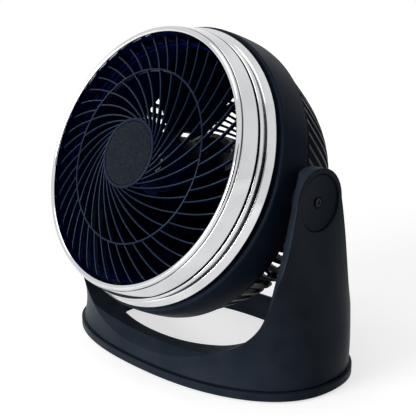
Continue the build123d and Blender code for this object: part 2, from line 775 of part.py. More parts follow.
def rear_grille():
    """Domed back: curved ribs from the edge ring to the plate that carries the motor."""
    inner_start = rear_hub_r - rear_hub_out
    inner_mid = (inner_start + rear_ring_r) / 2
    rim = barrel_r - rear_rim_gap
    inner_strip = curved_rib((inner_start, -rear_inner_sweep),
                             (inner_mid, -rear_inner_sweep * rear_inner_lag),
                             (rear_ring_r, 0), rear_rib_w)
    outer_strip = curved_rib((rear_ring_r, 0), ((rear_ring_r + rim) / 2, rear_outer_sweep * rib_lag),
                             (rim, rear_outer_sweep), rear_rib_w)
    mid_ring = Circle(rear_ring_r + rear_ring_w / 2) - Circle(rear_ring_r - rear_ring_w / 2)
    hub_outer = rear_hub_r + rear_hub_out
    hub_ring = Circle(hub_outer) - Circle(hub_outer - rear_hub_w)
    strips = ring_of(outer_strip, rear_outer_ribs) + ring_of(inner_strip, rear_inner_ribs)
    sheet = flat_pattern(strips, [mid_ring, hub_ring])
    ribs = (extrude(Pos(0, 0, barrel_back) * sheet, -far / 2) & dome_solid(0)) - dome_solid(dome_wall)
    edge = tube(barrel_r - rear_edge_in, barrel_r - dome_wall, barrel_back - rear_edge_w, barrel_back)
    plate = rod(rear_hub_r, plate_back, plate_front)
    lug_start = boss_pitch_r - lug_w / 2 + lug_shift
    lug_end = barrel_r - lug_end_gap
    lug = Pos((lug_start + lug_end) / 2, 0, barrel_back - lug_t / 2) * Box(lug_end - lug_start, lug_w, lug_t)
    grille = ribs.fuse(edge, plate, *corners_of(lug))
    cuts = corners_of(rod(base_screw_r + screw_gap, -lug_bore, lug_bore, x=boss_pitch_r))
    cuts += corners_of(rod(bolt_r + screw_gap, -far, 0, x=bolt_pitch_r))
    cuts += ring_of(rod(base_screw_r, -far, 0, x=cover_screw_pitch), cover_screws_count, first_cover_screw)
    cuts.append(rod(bearing_r + plate_hole, -far, 0))
    cuts += [side_rod(ear_r + ear_gap, barrel_r - ear_notch, far / 2, side) for side in (-1, 1)]
    grille = grille.cut(*cuts)
    return max(grille.solids(), key=lambda solid: solid.volume)


def screw(head_r, shank_r, head_station, length, forward):
    """Screw along the fan axis; forward is 1 when it is driven towards the air stream."""
    tip = head_station + forward * length
    neck = head_station - forward * screw_neck
    top = head_station - forward * screw_head_t
    shank = rod(shank_r, min(neck, tip), max(neck, tip))
    head = rod(head_r, min(head_station, top), max(head_station, top))
    return shank + head


def housing_screws():
    one = screw(base_screw_head_r, base_screw_r, barrel_back - lug_t, housing_screw_len, 1)
    return all_solids(corners_of(Pos(boss_pitch_r, 0, 0) * one))


# ---- motor ----

def motor_shell(front_side):
    """Pressed end bell with its bearing seat; drawn open towards the stack."""
    hub = bearing_r + bearing_seat
    snout = bearing_r + bell_wall
    depth = bell_depth
    seat_end = bearing_len - bearing_proud
    corner_in, corner_up = bell_corner
    bell = spun(
        (bearing_r, 0), (bearing_r, -bearing_proud), (snout, -bearing_proud), (snout, 0),
        (motor_r - corner_in, 0), (motor_r, corner_up), (motor_r, depth), (motor_r - bell_wall, depth),
        (motor_r - bell_wall, corner_up + bell_inside), (motor_r - corner_in - bell_inside, bell_wall),
        (hub, bell_wall), (hub, seat_end), (bearing_r, seat_end))
    land = rod(bolt_r + bolt_land, land_start, depth, x=bolt_pitch_r) & rod(motor_r, 0, depth)
    bell = bell.fuse(*corners_of(land))
    for cut in corners_of(rod(bolt_r + screw_gap, -past, depth + past, x=bolt_pitch_r)):
        bell = bell - cut
    vent = rod(vent_r, -past, bell_wall + past, x=(hub + motor_r) / 2 - vent_in)
    for cut in ring_of(vent, vent_count, 180 / vent_count):
        bell = bell - cut
    if front_side:
        return Pos(0, 0, motor_front) * Rot(180, 0, 0) * bell
    return Pos(0, 0, motor_back) * bell


def bearing(station):
    """Sleeve bearing in an end bell, from its outer end inwards."""
    return tube(bearing_r, shaft_r + running_gap, station, station + bearing_len)


def stator_core():
    core = tube(motor_r, rotor_r + air_gap, stack_back, stack_front)
    slot = Pos(slot_r, 0, (stack_back + stack_front) / 2) * Box(slot_depth, slot_w, stack_len + 2 * past)
    for cut in ring_of(slot, slot_count):
        core = core - cut
    for cut in corners_of(rod(bolt_r + screw_gap, stack_back - past, stack_front + past, x=bolt_pitch_r)):
        core = core - cut
    return core


def stator_windings():
    """Coil ends on both faces of the stack, joined by the sides that lie in its slots."""
    inner = slot_r - slot_depth / 2 + coil_in
    ends = [tube(winding_r, inner, stack_front, stack_front + winding_len),
            tube(winding_r, inner, stack_back - winding_len, stack_back)]
    bar = Box(slot_depth - 2 * coil_gap, slot_w - 2 * coil_gap, stack_len + 2 * coil_reach)
    side = Pos(slot_r, 0, (stack_back + stack_front) / 2) * bar
    return ends[0].fuse(ends[1], *ring_of(side, slot_count))


def rotor_core():
    return tube(rotor_r, shaft_r, stack_back, stack_front)


def motor_shaft():
    return rod(shaft_r, motor_back - shaft_out, impeller_back + impeller_len + nut_len - nut_cap)


def motor_bolts():
    length = motor_front - plate_front + rear_plate_t
    one = screw(bolt_head_r, bolt_r, motor_front, length, -1)
    return all_solids(corners_of(Pos(bolt_pitch_r, 0, 0) * one))


def motor_standoffs():
    one = tube(standoff_r, bolt_r + screw_gap, plate_front, motor_back, x=bolt_pitch_r)
    return all_solids(corners_of(one))


# ---- impeller ----

def blade_section(radius, chord, pitch):
    """Closed cambered strip on the plane square to the radius."""
    plane = Plane(origin=(radius, 0, impeller_back + impeller_len / 2), x_dir=(0, 1, 0), z_dir=(1, 0, 0))
    camber = chord * blade_camber
    half = blade_t / 2
    with BuildSketch(plane) as sketch:
        with BuildSketch(mode=Mode.PRIVATE) as flat:
            with BuildLine():
                top = ThreePointArc((-chord / 2, half), (0, camber + half), (chord / 2, half))
                bottom = ThreePointArc((-chord / 2, -half), (0, camber - half), (chord / 2, -half))
                Line(top @ 0, bottom @ 0)
                Line(top @ 1, bottom @ 1)
            make_face()
        add(flat.sketch.rotate(Axis.Z, -pitch))
    return sketch.sketch


def impeller():
    blade = loft([blade_section(*section) for section in blade_sections])
    blade = blade & rod(blade_tip_r, impeller_back - blade_room, impeller_back + impeller_len + blade_room)
    front = impeller_back + impeller_len
    back = impeller_back
    hub_in = impeller_hub_r - hub_wall
    nose = tuple((impeller_hub_r - inward, front - down) for inward, down in hub_round)
    hub = spun(
        (shaft_r, back), (shaft_r + hub_core, back), (shaft_r + hub_core, front - hub_cap[0]),
        (hub_in, front - hub_cap[1]), (hub_in, back), (impeller_hub_r, back), nose, (shaft_r, front))
    core = rod(impeller_hub_r - blade_root[0], -far, front - blade_root[1])
    blades = [piece - core for piece in ring_of(blade, blade_count, first_blade)]
    return hub.fuse(*blades)


def impeller_nut():
    front = impeller_back + impeller_len
    bore_end = front + nut_len - nut_cap
    return spun((shaft_r, front), (nut_r, front), (nut_r, bore_end - nut_edge[1]),
                crown(nut_r - nut_edge[0], bore_end, nut_cap), (0, bore_end), (shaft_r, bore_end))


# ---- back cover and speed control ----

def at_cover_screws(radius, back, front):
    """Round bars where the cover's screws stand."""
    return ring_of(rod(radius, back, front, x=cover_screw_pitch), cover_screws_count, first_cover_screw)


def motor_cover():
    rim = tuple((cover_r - inward, cover_back + up) for inward, up in cover_round)
    inside = cover_back + cover_wall
    cover = spun(
        (0, cover_back), rim, (cover_r, plate_back), (cover_r - cover_wall, plate_back),
        (cover_r - cover_wall, rim[2][1]), (rim[0][0], inside), (0, inside))
    cover = cover.fuse(*at_cover_screws(base_screw_head_r + cover_post_wall, cover_back, plate_back))
    below = cover_back - past
    cuts = at_cover_screws(base_screw_r + screw_gap, below, plate_back + past)
    cuts += at_cover_screws(base_screw_head_r + seat_gap, below, cover_back + cover_recess)
    cuts.append(rod(stem_r + stem_gap, below, inside + past))
    cuts.append(rod(gland_r, below, inside + past, y=-gland_drop))
    return cover.cut(*cuts)


def cover_screws():
    one = screw(base_screw_head_r, base_screw_r, cover_back + cover_recess, cover_depth, 1)
    return all_solids(ring_of(Pos(cover_screw_pitch, 0, 0) * one, cover_screws_count, first_cover_screw))


def rotary_switch():
    back = cover_back + cover_wall
    body = Pos(0, 0, back + switch_len / 2) * Box(switch_size, switch_size, switch_len)
    return body - rod(stem_r + running_gap, back - past, back + switch_len - switch_bore_stop)


def switch_stem():
    return rod(stem_r, stem_end, cover_back + cover_wall + switch_len - stem_stop)


def speed_knob():
    """Round knob with grip flutes and one raised pointer bar."""
    top = cover_back - knob_gap
    end = top - knob_len
    rim = tuple((knob_r - inward, end + up) for inward, up in knob_round)
    knob = spun((0, top), (knob_r, top), rim, (0, end))
    flute = rod(flute_r, end - past, top - flute_stop, x=knob_r + flute_out)
    for cut in ring_of(flute, flute_count):
        knob = knob - cut
    width, shorter, height = pointer
    knob = knob + Pos(0, knob_r / 2 - pointer_in, end) * Box(width, knob_r - shorter, height)
    return knob - rod(stem_r, stem_end, 0)


def cord_gland():
    """Bush of the cord inlet, low on the back cover."""
    reach, thickness = gland_lip
    inner_end = cover_back + cover_wall + gland_in
    body = tube(gland_r, gland_bore, cover_back - gland_sink, inner_end, y=-gland_drop)
    lip = tube(gland_r + reach, gland_bore, cover_back - thickness, cover_back, y=-gland_drop)
    return body + lip


# ---- write every piece ----

base_pieces = {
    "base_shell": base_shell(),
    "base_ring": base_ring(),
    "rubber_feet": rubber_feet(),
    "base_screws": base_screws(),
}
head_pieces = {
    "chrome_bezel": chrome_bezel(),
    "duct_housing": duct_housing(),
    "front_grille": front_grille(),
    "hub_disc": hub_disc(),
    "rear_grille": rear_grille(),
    "housing_screws": housing_screws(),
    "motor_front_bell": motor_shell(True),
    "motor_rear_bell": motor_shell(False),
    "front_bearing": bearing(motor_front - bearing_len + bearing_proud),
    "rear_bearing": bearing(motor_back - bearing_proud),
    "stator_core": stator_core(),
    "stator_windings": stator_windings(),
    "rotor_core": rotor_core(),
    "motor_shaft": motor_shaft(),
    "motor_bolts": motor_bolts(),
    "motor_standoffs": motor_standoffs(),
    "impeller": impeller(),
    "impeller_nut": impeller_nut(),
    "motor_cover": motor_cover(),
    "cover_screws": cover_screws(),
    "rotary_switch": rotary_switch(),
    "switch_stem": switch_stem(),
    "speed_knob": speed_knob(),
    "cord_gland": cord_gland(),
}
for name, side in (("left", -1), ("right", 1)):
    base_pieces[f"arm_cover_{name}"] = arm_cover(side)
    base_pieces[f"pivot_bush_{name}"] = pivot_bush(side)
    base_pieces[f"friction_washer_{name}"] = friction_washer(side)
    head_pieces[f"pivot_disc_{name}"] = pivot_disc(side)
    head_pieces[f"pivot_screw_{name}"] = pivot_screw(side)

for name, shape in base_pieces.items():
    save(name, shape)
for name, shape in head_pieces.items():
    save(name, on_head(shape))
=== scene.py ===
from math import cos, pi, radians, sin

import bmesh
import bpy
from mathutils import Matrix, Vector


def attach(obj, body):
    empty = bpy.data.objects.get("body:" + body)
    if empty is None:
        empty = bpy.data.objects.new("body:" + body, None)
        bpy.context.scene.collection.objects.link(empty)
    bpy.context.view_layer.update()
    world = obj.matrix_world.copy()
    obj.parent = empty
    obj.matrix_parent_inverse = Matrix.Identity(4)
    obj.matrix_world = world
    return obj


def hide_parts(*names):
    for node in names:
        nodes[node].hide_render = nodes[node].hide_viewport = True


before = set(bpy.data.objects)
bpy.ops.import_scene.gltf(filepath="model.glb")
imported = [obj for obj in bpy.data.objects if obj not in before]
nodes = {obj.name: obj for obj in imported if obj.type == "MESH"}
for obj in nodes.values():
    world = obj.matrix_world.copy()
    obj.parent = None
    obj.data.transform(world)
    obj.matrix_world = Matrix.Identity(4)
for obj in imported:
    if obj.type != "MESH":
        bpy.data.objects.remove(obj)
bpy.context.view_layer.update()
print("frame loaded:", len(nodes), "nodes")

# head and rotor pieces are drawn about the fan axis in millimetres: X across, Z along the air stream
headRest = {"pivotY": -1.45, "pivotZ": 145.3, "tilt": 22.0}
headPlace = (Matrix.Scale(0.001, 4)
             @ Matrix.Translation((0, headRest["pivotY"], headRest["pivotZ"]))
             @ Matrix.Rotation(radians(90 - headRest["tilt"]), 4, "X"))


# helpers that build meshes

def latheInto(bm, profile, steps=288):  # closed ring from (radius, station) points
    loops = []
    for radius, station in profile:
        if radius < 1e-6:
            loops.append([bm.verts.new((0, 0, station))])
            continue
        turns = [2 * pi * i / steps for i in range(steps)]
        loops.append([bm.verts.new((radius * cos(turn), radius * sin(turn), station)) for turn in turns])
    for first, second in zip(loops, loops[1:] + loops[:1]):
        if len(first) == 1 and len(second) == 1:
            continue
        for i in range(steps):
            j = (i + 1) % steps
            corners = [first[i % len(first)], first[j % len(first)],
                       second[j % len(second)], second[i % len(second)]]
            bm.faces.new(list(dict.fromkeys(corners)))


def softCorners(corners, parts=4):  # profile whose corners are eased: (radius, station, easing)
    points = []
    count = len(corners)
    for i, (r, s, ease) in enumerate(corners):
        here = Vector((r, s))
        if ease == 0:
            points.append((r, s))
            continue
        before = here + (Vector(corners[i - 1][:2]) - here).normalized() * ease
        after = here + (Vector(corners[(i + 1) % count][:2]) - here).normalized() * ease
        for k in range(parts + 1):
            t = k / parts
            spot = before * (1 - t) ** 2 + here * 2 * t * (1 - t) + after * t ** 2
            points.append((spot.x, spot.y))
    return points


def finInto(bm, path, width, crown, parts=6):  # upright strip along (x, y, top, bottom) points, round on top
    sections = []
    for i, (x, y, top, bottom) in enumerate(path):
        before, after = path[max(i - 1, 0)], path[min(i + 1, len(path) - 1)]
        along = Vector((after[0] - before[0], after[1] - before[1])).normalized()
        side = Vector((-along.y, along.x)) * width / 2
        section = [bm.verts.new((x - side.x, y - side.y, bottom))]
        for k in range(parts + 1):
            turn = pi * (1 - k / parts)
            section.append(bm.verts.new((x + side.x * cos(turn), y + side.y * cos(turn),
                                         top - crown + crown * sin(turn))))
        section.append(bm.verts.new((x + side.x, y + side.y, bottom)))
        sections.append(section)
    for first, second in zip(sections, sections[1:]):
        for k in range(len(first)):
            j = (k + 1) % len(first)
            bm.faces.new((first[k], first[j], second[j], second[k]))
    bm.faces.new(sections[0][::-1])
    bm.faces.new(sections[-1])


def polar(radius, bearing):
    return Vector((radius * cos(radians(bearing)), radius * sin(radians(bearing))))


def arcThrough(first, middle, last, parts):  # points of the circular arc through three plan points
    a, b, c = polar(*first), polar(*middle), polar(*last)
    aa, bb, cc = a.length_squared, b.length_squared, c.length_squared
    d = 2 * (a.x * (b.y - c.y) + b.x * (c.y - a.y) + c.x * (a.y - b.y))
    ux = (aa * (b.y - c.y) + bb * (c.y - a.y) + cc * (a.y - b.y)) / d
    uy = (aa * (c.x - b.x) + bb * (a.x - c.x) + cc * (b.x - a.x)) / d
    centre = Vector((ux, uy))
    start = a - centre
    sweep = start.angle_signed(c - centre) * -1
    return [centre + Matrix.Rotation(sweep * i / parts, 2) @ start for i in range(parts + 1)]


def between(table, value):  # straight-line reading of a (key, reading) table
    for (low, first), (high, second) in zip(table, table[1:]):
        if value <= high:
            return first + (second - first) * max(value - low, 0) / (high - low)
    return table[-1][1]


def fanPiece(name, bm, replaced, finish, sharpest=38, body="head"):  # drawn about the fan axis
    bmesh.ops.recalc_face_normals(bm, faces=bm.faces)
    mesh = bpy.data.meshes.new(name)
    bm.to_mesh(mesh)
    bm.free()
    mesh.transform(headPlace)
    mesh.shade_smooth()
    mesh.set_sharp_from_angle(angle=radians(sharpest))
    mesh.materials.append(finish)
    piece = bpy.data.objects.new(name, mesh)
    bpy.context.scene.collection.objects.link(piece)
    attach(piece, body)
    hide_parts(replaced)
    return piece


# finishes: one procedural material for each kind of surface

def addNode(tree, kind, settings=None, inputs=None):
    node = tree.nodes.new(kind)
    for key, value in (settings or {}).items():
        setattr(node, key, value)
    for key, value in (inputs or {}).items():
        node.inputs[key].default_value = value
    return node


def startFinish(name, shaderValues):
    material = bpy.data.materials.new(name)
    material.use_nodes = True
    tree = material.node_tree
    shader = tree.nodes["Principled BSDF"]
    for key, value in shaderValues.items():
        shader.inputs[key].default_value = value
    place = addNode(tree, "ShaderNodeTexCoord")
    return material, tree, shader, place.outputs["Object"]


def noiseAt(tree, place, scale, detail=3, low=0.35, high=0.65, toLow=0.0, toHigh=1.0):
    noise = addNode(tree, "ShaderNodeTexNoise", None, {"Scale": scale, "Detail": detail})
    ranged = addNode(tree, "ShaderNodeMapRange", None,
                     {"From Min": low, "From Max": high, "To Min": toLow, "To Max": toHigh})
    tree.links.new(place, noise.inputs["Vector"])
    tree.links.new(noise.outputs["Fac"], ranged.inputs["Value"])
    return ranged.outputs["Result"]


def blendColours(tree, factor, dark, light):
    mix = addNode(tree, "ShaderNodeMix", {"data_type": "RGBA"}, {"A": (*dark, 1), "B": (*light, 1)})
    tree.links.new(factor, mix.inputs["Factor"])
    return mix.outputs["Result"]


def fanPlace(tree, place):  # object coordinates with the tilt axis at 0 and Z along the air stream
    turn = addNode(tree, "ShaderNodeMapping", {"vector_type": "TEXTURE"},
                   {"Location": (0, headRest["pivotY"] / 1000, headRest["pivotZ"] / 1000),
                    "Rotation": (radians(90 - headRest["tilt"]), 0, 0)})
    tree.links.new(place, turn.inputs["Vector"])
    return turn.outputs["Vector"]


def mouldedFinish(name, look):  # moulded plastic or cast metal: mottled colour, uneven sheen, fine grain
    material, tree, shader, place = startFinish(name, look["shader"])
    mottle = noiseAt(tree, place, look["mottleScale"])
    tree.links.new(blendColours(tree, mottle, look["dark"], look["light"]), shader.inputs["Base Color"])
    sheen = noiseAt(tree, place, look["sheenScale"], toLow=look["rough"][0], toHigh=look["rough"][1])
    tree.links.new(sheen, shader.inputs["Roughness"])
    grain = noiseAt(tree, place, look["grainScale"], detail=2, low=0.25, high=0.75)
    bump = addNode(tree, "ShaderNodeBump", None, {"Strength": look["grain"], "Distance": look["grainDepth"]})
    tree.links.new(grain, bump.inputs["Height"])
    if look["edge"]:
        edge = addNode(tree, "ShaderNodeBevel", {"samples": 6}, {"Radius": look["edge"]})
        tree.links.new(edge.outputs["Normal"], bump.inputs["Normal"])
    tree.links.new(bump.outputs["Normal"], shader.inputs["Normal"])
    return material


satinBlack = mouldedFinish("satinBlack", {  # cradle and its foot ring
    "shader": {"Specular IOR Level": 0.25, "IOR": 1.15},
    "dark": (0.0100, 0.0150, 0.0230), "light": (0.0150, 0.0200, 0.0285), "mottleScale": 60.0,
    "rough": (0.38, 0.46), "sheenScale": 35.0,
    "grain": 0.30, "grainScale": 2600.0, "grainDepth": 0.00006, "edge": 0.0012})
barrelBlack = mouldedFinish("barrelBlack", {  # barrel behind the bright ring
    "shader": {"Specular IOR Level": 0.30, "IOR": 1.15},
    "dark": (0.0055, 0.0095, 0.0180), "light": (0.0085, 0.0125, 0.0225), "mottleScale": 55.0,
    "rough": (0.40, 0.48), "sheenScale": 30.0,
    "grain": 0.30, "grainScale": 2400.0, "grainDepth": 0.00006, "edge": 0.0010})
grilleBlack = mouldedFinish("grilleBlack", {  # front ribs
    "shader": {"Specular IOR Level": 0.26, "IOR": 1.4, "Specular Tint": (0.50, 0.76, 1.0, 1.0)},
    "dark": (0.0010, 0.0030, 0.0130), "light": (0.0016, 0.0044, 0.0170), "mottleScale": 90.0,
    "rough": (0.24, 0.32), "sheenScale": 60.0,
    "grain": 0.15, "grainScale": 3000.0, "grainDepth": 0.00004, "edge": 0.0})
wallBlack = mouldedFinish("wallBlack", {  # dull wall between the ribs' ends, and the web behind the disc
    "shader": {"Specular IOR Level": 0.10, "IOR": 1.2},
    "dark": (0.0008, 0.0022, 0.0260), "light": (0.0012, 0.0030, 0.0320), "mottleScale": 80.0,
    "rough": (0.50, 0.60), "sheenScale": 60.0,
    "grain": 0.15, "grainScale": 3000.0, "grainDepth": 0.00004, "edge": 0.0})
rearBlack = mouldedFinish("rearBlack", {  # domed back
    "shader": {"Specular IOR Level": 0.20, "IOR": 1.12},
    "dark": (0.0014, 0.0036, 0.0110), "light": (0.0024, 0.0050, 0.0140), "mottleScale": 90.0,
    "rough": (0.30, 0.40), "sheenScale": 60.0,
    "grain": 0.20, "grainScale": 2600.0, "grainDepth": 0.00004, "edge": 0.0006})
discTexture = mouldedFinish("discTexture", {  # spark-textured disc in the middle of the grille
    "shader": {"Specular IOR Level": 0.25, "IOR": 1.2},
    "dark": (0.0002, 0.0014, 0.0045), "light": (0.0085, 0.0120, 0.0180), "mottleScale": 800.0,
    "rough": (0.50, 0.62), "sheenScale": 120.0,
    "grain": 0.75, "grainScale": 1100.0, "grainDepth": 0.00035, "edge": 0.0})
bladeBlack = mouldedFinish("bladeBlack", {  # impeller
    "shader": {"Specular IOR Level": 0.15, "IOR": 1.2},
    "dark": (0.0008, 0.0018, 0.0210), "light": (0.0012, 0.0028, 0.0260), "mottleScale": 70.0,
    "rough": (0.40, 0.50), "sheenScale": 50.0,
    "grain": 0.15, "grainScale": 2600.0, "grainDepth": 0.00004, "edge": 0.0005})


def paintedShadeInside(material, look):  # painted shade: inside a radius about the fan axis the finish turns to a darker navy with less specular, standing in for the shade inside the barrel
    tree = material.node_tree
    shader = tree.nodes["Principled BSDF"]
    place = addNode(tree, "ShaderNodeTexCoord").outputs["Object"]
    flat = addNode(tree, "ShaderNodeVectorMath", {"operation": "MULTIPLY"})
    flat.inputs[1].default_value = (1, 1, 0)
    reach = addNode(tree, "ShaderNodeVectorMath", {"operation": "LENGTH"})
    outside = addNode(tree, "ShaderNodeMapRange", None,
                      {"From Min": look["radius"], "From Max": look["radius"] + look["blend"]})
    colours = addNode(tree, "ShaderNodeMix", {"data_type": "RGBA"}, {"A": (*look["colour"], 1)})
    specular = addNode(tree, "ShaderNodeMapRange", None, {
        "To Min": look["specular"], "To Max": shader.inputs["Specular IOR Level"].default_value})
    tree.links.new(fanPlace(tree, place), flat.inputs[0])
    tree.links.new(flat.outputs["Vector"], reach.inputs[0])
    tree.links.new(reach.outputs["Value"], outside.inputs["Value"])
    tree.links.new(outside.outputs["Result"], colours.inputs["Factor"])
    tree.links.new(outside.outputs["Result"], specular.inputs["Value"])
    tree.links.new(shader.inputs["Base Color"].links[0].from_socket, colours.inputs["B"])
    tree.links.new(colours.outputs["Result"], shader.inputs["Base Color"])
    tree.links.new(specular.outputs["Result"], shader.inputs["Specular IOR Level"])


# painted shade inside the barrel: darker navy and lower specular within the radius
paintedShadeInside(barrelBlack, {"radius": 0.0965, "blend": 0.001,
                         "colour": (0.0010, 0.0026, 0.0330), "specular": 0.08})
footRubber = mouldedFinish("footRubber", {
    "shader": {"Specular IOR Level": 0.35},
    "dark": (0.016, 0.016, 0.016), "light": (0.024, 0.024, 0.024), "mottleScale": 300.0,
    "rough": (0.72, 0.86), "sheenScale": 200.0,
    "grain": 0.50, "grainScale": 2200.0, "grainDepth": 0.0001, "edge": 0.0006})
darkScrews = mouldedFinish("darkScrews", {
    "shader": {"Metallic": 1.0},
    "dark": (0.05, 0.052, 0.056), "light": (0.085, 0.087, 0.092), "mottleScale": 400.0,
    "rough": (0.28, 0.42), "sheenScale": 300.0,
    "grain": 0.20, "grainScale": 3000.0, "grainDepth": 0.00003, "edge": 0.0003})
blackOxide = mouldedFinish("blackOxide", {  # the two pivot screws
    "shader": {"Metallic": 1.0},
    "dark": (0.010, 0.012, 0.016), "light": (0.020, 0.023, 0.030), "mottleScale": 400.0,
    "rough": (0.35, 0.50), "sheenScale": 300.0,
    "grain": 0.20, "grainScale": 3000.0, "grainDepth": 0.00003, "edge": 0.0003})
plainSteel = mouldedFinish("plainSteel", {
    "shader": {"Metallic": 1.0},
    "dark": (0.42, 0.43, 0.44), "light": (0.55, 0.56, 0.57), "mottleScale": 250.0,
    "rough": (0.22, 0.34), "sheenScale": 400.0,
    "grain": 0.15, "grainScale": 2500.0, "grainDepth": 0.00003, "edge": 0.0003})
motorCasting = mouldedFinish("motorCasting", {
    "shader": {"Metallic": 1.0},
    "dark": (0.16, 0.165, 0.17), "light": (0.24, 0.245, 0.25), "mottleScale": 220.0,
    "rough": (0.42, 0.60), "sheenScale": 160.0,
    "grain": 0.55, "grainScale": 1500.0, "grainDepth": 0.00012, "edge": 0.0005})
windingCopper = mouldedFinish("windingCopper", {
    "shader": {"Metallic": 1.0},
    "dark": (0.42, 0.17, 0.08), "light": (0.62, 0.28, 0.13), "mottleScale": 500.0,
    "rough": (0.28, 0.42), "sheenScale": 400.0,
    "grain": 0.70, "grainScale": 1200.0, "grainDepth": 0.0003, "edge": 0.0})
bearingBronze = mouldedFinish("bearingBronze", {
    "shader": {"Metallic": 1.0},
    "dark": (0.38, 0.25, 0.11), "light": (0.50, 0.34, 0.16), "mottleScale": 500.0,
    "rough": (0.34, 0.46), "sheenScale": 300.0,
    "grain": 0.35, "grainScale": 2500.0, "grainDepth": 0.00005, "edge": 0.0003})
bushPlastic = mouldedFinish("bushPlastic", {
    "shader": {"Specular IOR Level": 0.5},
    "dark": (0.55, 0.54, 0.50), "light": (0.66, 0.65, 0.61), "mottleScale": 120.0,
    "rough": (0.40, 0.52), "sheenScale": 120.0,
    "grain": 0.15, "grainScale": 2500.0, "grainDepth": 0.00004, "edge": 0.0004})


def laminationFinish(look):  # stacked sheet steel: fine bands along the fan axis
    material, tree, shader, place = startFinish("laminationSteel", look["shader"])
    bands = addNode(tree, "ShaderNodeTexWave", {"bands_direction": "Z"},
                    {"Scale": look["bandScale"], "Distortion": look["bandWander"], "Detail": 1.0})
    bump = addNode(tree, "ShaderNodeBump", None, {"Strength": look["grain"], "Distance": look["grainDepth"]})
    tree.links.new(fanPlace(tree, place), bands.inputs["Vector"])
    colours = blendColours(tree, bands.outputs["Fac"], look["dark"], look["light"])
    tree.links.new(colours, shader.inputs["Base Color"])
    tree.links.new(bands.outputs["Fac"], bump.inputs["Height"])
    tree.links.new(bump.outputs["Normal"], shader.inputs["Normal"])
    sheen = noiseAt(tree, place, look["sheenScale"], toLow=look["rough"][0], toHigh=look["rough"][1])
    tree.links.new(sheen, shader.inputs["Roughness"])
    return material


laminationSteel = laminationFinish({
    "shader": {"Metallic": 1.0}, "bandScale": 320.0, "bandWander": 0.4, "grain": 0.6, "grainDepth": 0.0001,
    "dark": (0.17, 0.17, 0.175), "light": (0.33, 0.33, 0.34), "rough": (0.35, 0.5), "sheenScale": 300.0})


def chromeFinish(look):  # bright plating: faint smears and a slight waviness of the moulding under it
    material, tree, shader, place = startFinish("brightChrome", look["shader"])
    smears = noiseAt(tree, place, look["smearScale"], detail=4)
    tree.links.new(blendColours(tree, smears, look["dark"], look["light"]), shader.inputs["Base Color"])
    sheen = noiseAt(tree, place, look["sheenScale"], toLow=look["rough"][0], toHigh=look["rough"][1])
    tree.links.new(sheen, shader.inputs["Roughness"])
    bump = addNode(tree, "ShaderNodeBump", None, {"Strength": look["wave"], "Distance": look["waveDepth"]})
    wave = noiseAt(tree, place, look["waveScale"], detail=1, low=0.2, high=0.8)
    tree.links.new(wave, bump.inputs["Height"])
    tree.links.new(bump.outputs["Normal"], shader.inputs["Normal"])
    return material


brightChrome = chromeFinish({
    "shader": {"Metallic": 1.0}, "dark": (0.58, 0.59, 0.60), "light": (0.68, 0.69, 0.70), "smearScale": 28.0,
    "rough": (0.035, 0.075), "sheenScale": 64.4, "wave": 0.08, "waveScale": 14.0, "waveDepth": 0.0004})
grooveShadeChrome = mouldedFinish("grooveShadeChrome", {  # chrome darkened with painted shade and a painted dark reflection, for the bottoms of the ring's grooves
    "shader": {"Metallic": 1.0},
    "dark": (0.045, 0.048, 0.052), "light": (0.14, 0.145, 0.15), "mottleScale": 40.0,
    "rough": (0.16, 0.26), "sheenScale": 80.0,
    "grain": 0.10, "grainScale": 800.0, "grainDepth": 0.00005, "edge": 0.0})
print("finishes made")

# the CAD nodes that stay
nodeFinishes = {
    satinBlack: ["base_shell", "base_ring", "arm_cover_left", "arm_cover_right", "speed_knob", "cord_gland",
                 "motor_cover"],
    barrelBlack: ["duct_housing", "pivot_disc_left", "pivot_disc_right"],
    rearBlack: ["rear_grille"],
    bladeBlack: ["rotary_switch"],
    footRubber: ["rubber_feet"],
    darkScrews: ["base_screws", "housing_screws", "cover_screws"],
    blackOxide: ["pivot_screw_left", "pivot_screw_right"],
    plainSteel: ["motor_shaft", "motor_bolts", "motor_standoffs", "impeller_nut", "switch_stem"],
    motorCasting: ["motor_front_bell", "motor_rear_bell"],
    laminationSteel: ["stator_core", "rotor_core"],
    windingCopper: ["stator_windings"],
    bearingBronze: ["front_bearing", "rear_bearing"],
    bushPlastic: ["pivot_bush_left", "pivot_bush_right", "friction_washer_left", "friction_washer_right"],
}
for finish, names in nodeFinishes.items():
    for name in names:
        for slot in nodes[name].material_slots:
            slot.material = finish

# bright ring: nose, long cone, bead between two grooves, flange; the rises are counted from its back
ring = {"mouth": 95.4, "nose": 100.0, "front": 62.3, "back": 33.5, "flange": 108.2,
        "coneRise": 14.4, "beadRise": 10.0, "flangeRise": 6.0, "lip": 3.2, "legOut": 1.25, "legWall": 1.0,
        "noseGroove": (3.0, 2.3), "grooveIn": 1.0, "grooveOut": 3.5, "margin": 0.1,
        "easeParts": 5, "steps": 384, "sharpest": 50}


